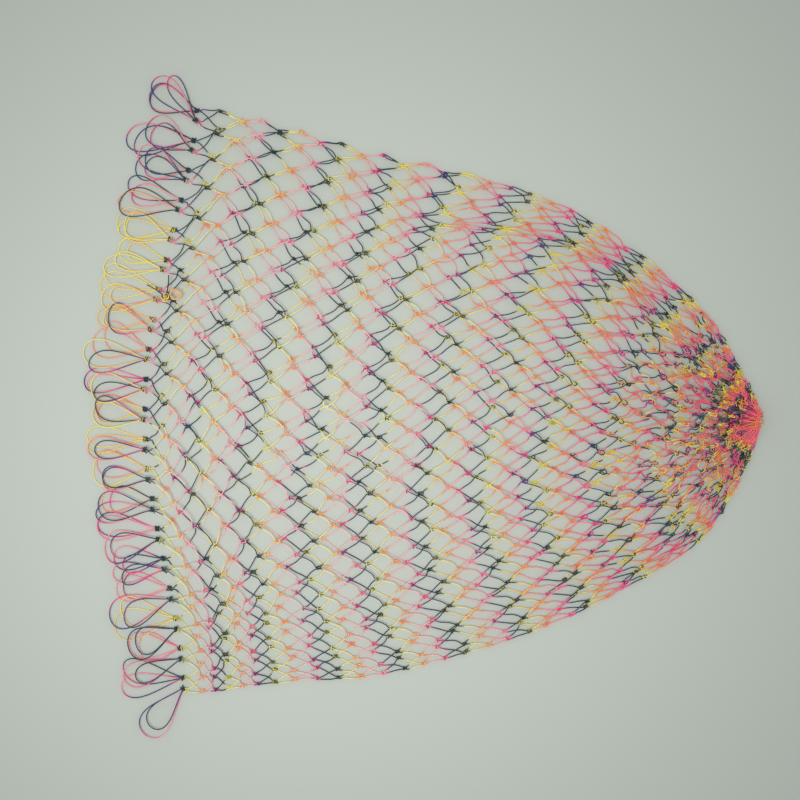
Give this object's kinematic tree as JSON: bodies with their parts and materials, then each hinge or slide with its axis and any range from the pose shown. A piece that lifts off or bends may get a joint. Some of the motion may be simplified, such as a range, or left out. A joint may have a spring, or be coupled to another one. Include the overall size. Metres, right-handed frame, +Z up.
{
  "type": "knotted net bag",
  "caption": "Hand-knotted bag of dip-net mesh lying flat, with long doubled head loops along its mouth and a gathered, closed toe.",
  "frame": {"origin": "on the surface the bag lies on, under the middle of its box", "axes": "+X from the mouth to the toe, +Y across the flattened bag, +Z up"},
  "size_m": [0.6144, 0.595, 0.0164],
  "materials": {
    "net_twine": "space-dyed twine in repeating pink, navy, olive, yellow and orange",
    "head_loop_twine": "doubled twine in yellow, orange, pink and purple",
    "binding_twine": "tight orange and pink twine"
  },
  "bodies": {
    "mouth_half": {"back_net_mouth": "net_twine", "front_net_mouth": "net_twine", "joining_knot": "binding_twine", "joining_tail_long": "binding_twine", "joining_tail_short": "binding_twine"},
    "toe_half": {"back_net_toe": "net_twine", "front_net_toe": "net_twine", "toe_gather": "net_twine", "toe_draw_twine": "binding_twine"},
    "front_loop_01": {"front_head_loop_01": "head_loop_twine"},
    "front_loop_02": {"front_head_loop_02": "head_loop_twine"},
    "front_loop_03": {"front_head_loop_03": "head_loop_twine"},
    "front_loop_04": {"front_head_loop_04": "head_loop_twine"},
    "front_loop_05": {"front_head_loop_05": "head_loop_twine"},
    "front_loop_06": {"front_head_loop_06": "head_loop_twine"},
    "front_loop_07": {"front_head_loop_07": "head_loop_twine"},
    "front_loop_08": {"front_head_loop_08": "head_loop_twine"},
    "front_loop_09": {"front_head_loop_09": "head_loop_twine"},
    "front_loop_10": {"front_head_loop_10": "head_loop_twine"},
    "front_loop_11": {"front_head_loop_11": "head_loop_twine"},
    "front_loop_12": {"front_head_loop_12": "head_loop_twine"},
    "front_loop_13": {"front_head_loop_13": "head_loop_twine"},
    "front_loop_14": {"front_head_loop_14": "head_loop_twine"},
    "front_loop_15": {"front_head_loop_15": "head_loop_twine"},
    "front_loop_16": {"front_head_loop_16": "head_loop_twine"},
    "front_loop_17": {"front_head_loop_17": "head_loop_twine"},
    "front_loop_18": {"front_head_loop_18": "head_loop_twine"},
    "front_loop_19": {"front_head_loop_19": "head_loop_twine"},
    "front_loop_20": {"front_head_loop_20": "head_loop_twine"},
    "back_loop_01": {"back_head_loop_01": "head_loop_twine"},
    "back_loop_02": {"back_head_loop_02": "head_loop_twine"},
    "back_loop_03": {"back_head_loop_03": "head_loop_twine"},
    "back_loop_04": {"back_head_loop_04": "head_loop_twine"},
    "back_loop_05": {"back_head_loop_05": "head_loop_twine"},
    "back_loop_06": {"back_head_loop_06": "head_loop_twine"},
    "back_loop_07": {"back_head_loop_07": "head_loop_twine"},
    "back_loop_08": {"back_head_loop_08": "head_loop_twine"},
    "back_loop_09": {"back_head_loop_09": "head_loop_twine"},
    "back_loop_10": {"back_head_loop_10": "head_loop_twine"},
    "back_loop_11": {"back_head_loop_11": "head_loop_twine"},
    "back_loop_12": {"back_head_loop_12": "head_loop_twine"},
    "back_loop_13": {"back_head_loop_13": "head_loop_twine"},
    "back_loop_14": {"back_head_loop_14": "head_loop_twine"},
    "back_loop_15": {"back_head_loop_15": "head_loop_twine"},
    "back_loop_16": {"back_head_loop_16": "head_loop_twine"},
    "back_loop_17": {"back_head_loop_17": "head_loop_twine"},
    "back_loop_18": {"back_head_loop_18": "head_loop_twine"},
    "back_loop_19": {"back_head_loop_19": "head_loop_twine"},
    "back_loop_20": {"back_head_loop_20": "head_loop_twine"}
  },
  "joints": [
    {"name": "fold_in_half", "type": "hinge", "parent": "mouth_half", "child": "toe_half", "pos_m": [0.06171, 0.00097, 0.0125], "axis": [0, -1, 0], "range_deg": [0, 175]},
    {"name": "front_loop_01_swing", "type": "hinge", "parent": "mouth_half", "child": "front_loop_01", "pos_m": [-0.21617, -0.25636, 0.00327], "axis": [-0.7278, 0.6858, 0], "range_deg": [0, 100]},
    {"name": "front_loop_02_swing", "type": "hinge", "parent": "mouth_half", "child": "front_loop_02", "pos_m": [-0.21796, -0.22951, 0.00473], "axis": [-0.4325, 0.9016, 0], "range_deg": [0, 100]},
    {"name": "front_loop_03_swing", "type": "hinge", "parent": "mouth_half", "child": "front_loop_03", "pos_m": [-0.22178, -0.20266, 0.00603], "axis": [-0.3137, 0.9495, 0], "range_deg": [0, 100]},
    {"name": "front_loop_04_swing", "type": "hinge", "parent": "mouth_half", "child": "front_loop_04", "pos_m": [-0.22683, -0.17581, 0.00717], "axis": [-0.2129, 0.9771, 0], "range_deg": [0, 100]},
    {"name": "front_loop_05_swing", "type": "hinge", "parent": "mouth_half", "child": "front_loop_05", "pos_m": [-0.23241, -0.14896, 0.00816], "axis": [-0.0601, 0.9982, 0], "range_deg": [0, 100]},
    {"name": "front_loop_06_swing", "type": "hinge", "parent": "mouth_half", "child": "front_loop_06", "pos_m": [-0.23793, -0.12211, 0.00898], "axis": [-0.1046, 0.9945, 0], "range_deg": [0, 100]},
    {"name": "front_loop_07_swing", "type": "hinge", "parent": "mouth_half", "child": "front_loop_07", "pos_m": [-0.24288, -0.09526, 0.00964], "axis": [0.0012, 1, 0], "range_deg": [0, 100]},
    {"name": "front_loop_08_swing", "type": "hinge", "parent": "mouth_half", "child": "front_loop_08", "pos_m": [-0.24686, -0.06841, 0.01014], "axis": [0.0306, 0.9995, 0], "range_deg": [0, 100]},
    {"name": "front_loop_09_swing", "type": "hinge", "parent": "mouth_half", "child": "front_loop_09", "pos_m": [-0.24955, -0.04156, 0.01048], "axis": [-0.0051, 1, 0], "range_deg": [0, 100]},
    {"name": "front_loop_10_swing", "type": "hinge", "parent": "mouth_half", "child": "front_loop_10", "pos_m": [-0.25076, -0.01471, 0.01067], "axis": [0.1197, 0.9928, 0], "range_deg": [0, 100]},
    {"name": "front_loop_11_swing", "type": "hinge", "parent": "mouth_half", "child": "front_loop_11", "pos_m": [-0.25036, 0.01214, 0.01069], "axis": [0.0691, 0.9976, 0], "range_deg": [0, 100]},
    {"name": "front_loop_12_swing", "type": "hinge", "parent": "mouth_half", "child": "front_loop_12", "pos_m": [-0.24835, 0.03899, 0.01055], "axis": [0.1159, 0.9933, 0], "range_deg": [0, 100]},
    {"name": "front_loop_13_swing", "type": "hinge", "parent": "mouth_half", "child": "front_loop_13", "pos_m": [-0.2448, 0.06584, 0.01025], "axis": [0.194, 0.981, 0], "range_deg": [0, 100]},
    {"name": "front_loop_14_swing", "type": "hinge", "parent": "mouth_half", "child": "front_loop_14", "pos_m": [-0.23991, 0.09269, 0.0098], "axis": [0.1315, 0.9913, 0], "range_deg": [0, 100]},
    {"name": "front_loop_15_swing", "type": "hinge", "parent": "mouth_half", "child": "front_loop_15", "pos_m": [-0.23394, 0.11954, 0.00918], "axis": [0.2527, 0.9676, 0], "range_deg": [0, 100]},
    {"name": "front_loop_16_swing", "type": "hinge", "parent": "mouth_half", "child": "front_loop_16", "pos_m": [-0.22729, 0.14639, 0.0084], "axis": [0.2646, 0.9644, 0], "range_deg": [0, 100]},
    {"name": "front_loop_17_swing", "type": "hinge", "parent": "mouth_half", "child": "front_loop_17", "pos_m": [-0.22042, 0.17324, 0.00746], "axis": [0.2976, 0.9547, 0], "range_deg": [0, 100]},
    {"name": "front_loop_18_swing", "type": "hinge", "parent": "mouth_half", "child": "front_loop_18", "pos_m": [-0.2139, 0.20009, 0.00637], "axis": [0.4757, 0.8796, 0], "range_deg": [0, 100]},
    {"name": "front_loop_19_swing", "type": "hinge", "parent": "mouth_half", "child": "front_loop_19", "pos_m": [-0.20841, 0.22694, 0.00511], "axis": [0.5348, 0.845, 0], "range_deg": [0, 100]},
    {"name": "front_loop_20_swing", "type": "hinge", "parent": "mouth_half", "child": "front_loop_20", "pos_m": [-0.20472, 0.25379, 0.00369], "axis": [0.7574, 0.6529, 0], "range_deg": [0, 100]},
    {"name": "back_loop_01_swing", "type": "hinge", "parent": "mouth_half", "child": "back_loop_01", "pos_m": [-0.2165, -0.24723, 0.0011], "axis": [-0.0898, 0.996, 0], "range_deg": [-100, 0]},
    {"name": "back_loop_02_swing", "type": "hinge", "parent": "mouth_half", "child": "back_loop_02", "pos_m": [-0.21907, -0.22039, 0.0011], "axis": [-0.0387, 0.9993, 0], "range_deg": [-100, 0]},
    {"name": "back_loop_03_swing", "type": "hinge", "parent": "mouth_half", "child": "back_loop_03", "pos_m": [-0.22339, -0.19353, 0.0011], "axis": [-0.0819, 0.9966, 0], "range_deg": [-100, 0]},
    {"name": "back_loop_04_swing", "type": "hinge", "parent": "mouth_half", "child": "back_loop_04", "pos_m": [-0.2287, -0.16668, 0.0011], "axis": [0.0389, 0.9992, 0], "range_deg": [-100, 0]},
    {"name": "back_loop_05_swing", "type": "hinge", "parent": "mouth_half", "child": "back_loop_05", "pos_m": [-0.23432, -0.13983, 0.0011], "axis": [-0.0124, 0.9999, 0], "range_deg": [-100, 0]},
    {"name": "back_loop_06_swing", "type": "hinge", "parent": "mouth_half", "child": "back_loop_06", "pos_m": [-0.2397, -0.11299, 0.0011], "axis": [0.0101, 0.9999, 0], "range_deg": [-100, 0]},
    {"name": "back_loop_07_swing", "type": "hinge", "parent": "mouth_half", "child": "back_loop_07", "pos_m": [-0.24436, -0.08613, 0.0011], "axis": [0.0861, 0.9963, 0], "range_deg": [-100, 0]},
    {"name": "back_loop_08_swing", "type": "hinge", "parent": "mouth_half", "child": "back_loop_08", "pos_m": [-0.24793, -0.05928, 0.0011], "axis": [0.004, 1, 0], "range_deg": [-100, 0]},
    {"name": "back_loop_09_swing", "type": "hinge", "parent": "mouth_half", "child": "back_loop_09", "pos_m": [-0.25014, -0.03243, 0.0011], "axis": [0.0989, 0.9951, 0], "range_deg": [-100, 0]},
    {"name": "back_loop_10_swing", "type": "hinge", "parent": "mouth_half", "child": "back_loop_10", "pos_m": [-0.2508, -0.00558, 0.0011], "axis": [0.0899, 0.996, 0], "range_deg": [-100, 0]},
    {"name": "back_loop_11_swing", "type": "hinge", "parent": "mouth_half", "child": "back_loop_11", "pos_m": [-0.24985, 0.02127, 0.0011], "axis": [0.0568, 0.9984, 0], "range_deg": [-100, 0]},
    {"name": "back_loop_12_swing", "type": "hinge", "parent": "mouth_half", "child": "back_loop_12", "pos_m": [-0.24731, 0.04811, 0.0011], "axis": [0.1626, 0.9867, 0], "range_deg": [-100, 0]},
    {"name": "back_loop_13_swing", "type": "hinge", "parent": "mouth_half", "child": "back_loop_13", "pos_m": [-0.24328, 0.07497, 0.0011], "axis": [0.088, 0.9961, 0], "range_deg": [-100, 0]},
    {"name": "back_loop_14_swing", "type": "hinge", "parent": "mouth_half", "child": "back_loop_14", "pos_m": [-0.23798, 0.10182, 0.0011], "axis": [0.1413, 0.99, 0], "range_deg": [-100, 0]},
    {"name": "back_loop_15_swing", "type": "hinge", "parent": "mouth_half", "child": "back_loop_15", "pos_m": [-0.23174, 0.12867, 0.0011], "axis": [0.1875, 0.9823, 0], "range_deg": [-100, 0]},
    {"name": "back_loop_16_swing", "type": "hinge", "parent": "mouth_half", "child": "back_loop_16", "pos_m": [-0.22495, 0.15552, 0.0011], "axis": [0.1199, 0.9928, 0], "range_deg": [-100, 0]},
    {"name": "back_loop_17_swing", "type": "hinge", "parent": "mouth_half", "child": "back_loop_17", "pos_m": [-0.21813, 0.18237, 0.0011], "axis": [0.2333, 0.9724, 0], "range_deg": [-100, 0]},
    {"name": "back_loop_18_swing", "type": "hinge", "parent": "mouth_half", "child": "back_loop_18", "pos_m": [-0.21188, 0.20922, 0.0011], "axis": [0.2056, 0.9786, 0], "range_deg": [-100, 0]},
    {"name": "back_loop_19_swing", "type": "hinge", "parent": "mouth_half", "child": "back_loop_19", "pos_m": [-0.20691, 0.23607, 0.0011], "axis": [0.2241, 0.9746, 0], "range_deg": [-100, 0]},
    {"name": "back_loop_20_swing", "type": "hinge", "parent": "mouth_half", "child": "back_loop_20", "pos_m": [-0.20402, 0.26292, 0.0011], "axis": [0.3406, 0.9402, 0], "range_deg": [-100, 0]}
  ]
}
